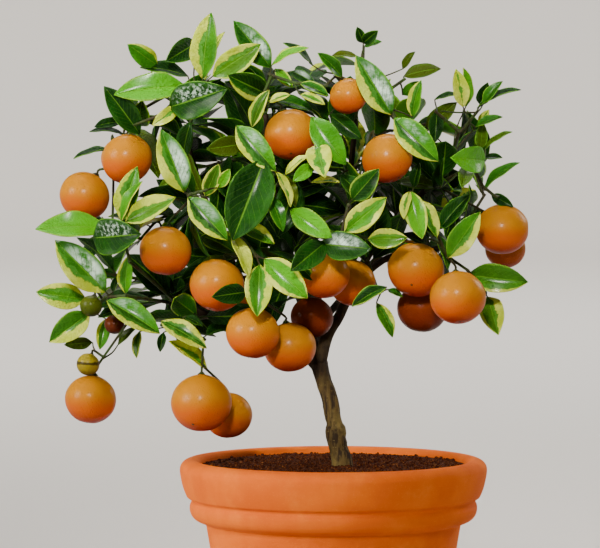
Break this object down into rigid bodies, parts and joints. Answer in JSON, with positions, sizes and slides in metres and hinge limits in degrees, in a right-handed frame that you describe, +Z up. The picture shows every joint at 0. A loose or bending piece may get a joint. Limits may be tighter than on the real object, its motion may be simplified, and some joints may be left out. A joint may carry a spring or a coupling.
{
  "type": "potted orange tree",
  "caption": "Dwarf orange tree with cream-edged leaves and small round oranges, growing in soil in a round terracotta pot with a deep rim.",
  "frame": {"origin": "centre of the pot's flat base", "axes": "+Z up out of the pot, -Y towards the side that the picture shows, +X to its right"},
  "size_m": [0.3957, 0.2725, 0.5875],
  "materials": {
    "terracotta": "unglazed matt fired clay",
    "soil": "dark crumbly potting mix",
    "bark": "smooth grey-brown bark",
    "leaf": "glossy green with cream edges",
    "orange_peel": "glossy, finely pitted",
    "unripe_peel": "glossy, finely pitted"
  },
  "bodies": {
    "root": {"pot": "terracotta", "soil": "soil", "trunk": "bark", "spray_back_high_left": "leaf", "spray_back_high_right": "leaf", "spray_back_low_left": "leaf", "spray_back_low_right": "leaf", "spray_back_mid": "leaf", "spray_back_top": "leaf", "spray_centre": "leaf", "spray_inner_left": "leaf", "spray_inner_right": "leaf", "spray_left": "leaf", "spray_left_high": "leaf", "spray_left_inner": "leaf", "spray_left_low": "leaf", "spray_left_side": "leaf", "spray_low": "leaf", "spray_low_mid": "leaf", "spray_mid": "leaf", "spray_mid_high": "leaf", "spray_mid_low": "leaf", "spray_right_front": "leaf", "spray_right_high": "leaf", "spray_right_low": "leaf", "spray_right_mid": "leaf", "spray_right_side": "leaf", "spray_top": "leaf", "spray_top_left": "leaf", "spray_top_right": "leaf", "orange_01": "orange_peel", "orange_02": "orange_peel", "orange_03": "orange_peel", "orange_04": "orange_peel", "orange_05": "orange_peel", "orange_06": "orange_peel", "orange_07": "orange_peel", "orange_08": "orange_peel", "orange_09": "orange_peel", "orange_10": "orange_peel", "orange_11": "orange_peel", "orange_12": "orange_peel", "orange_13": "orange_peel", "orange_14": "orange_peel", "orange_15": "orange_peel", "orange_16": "orange_peel", "orange_17": "orange_peel", "orange_18": "orange_peel", "orange_19": "orange_peel", "orange_20": "orange_peel", "orange_21": "orange_peel", "orange_22": "orange_peel", "orange_23": "orange_peel", "orange_24": "orange_peel", "orange_25": "orange_peel", "orange_26": "orange_peel", "unripe_orange_01": "unripe_peel", "unripe_orange_02": "unripe_peel", "unripe_orange_03": "unripe_peel"}
  },
  "joints": []
}
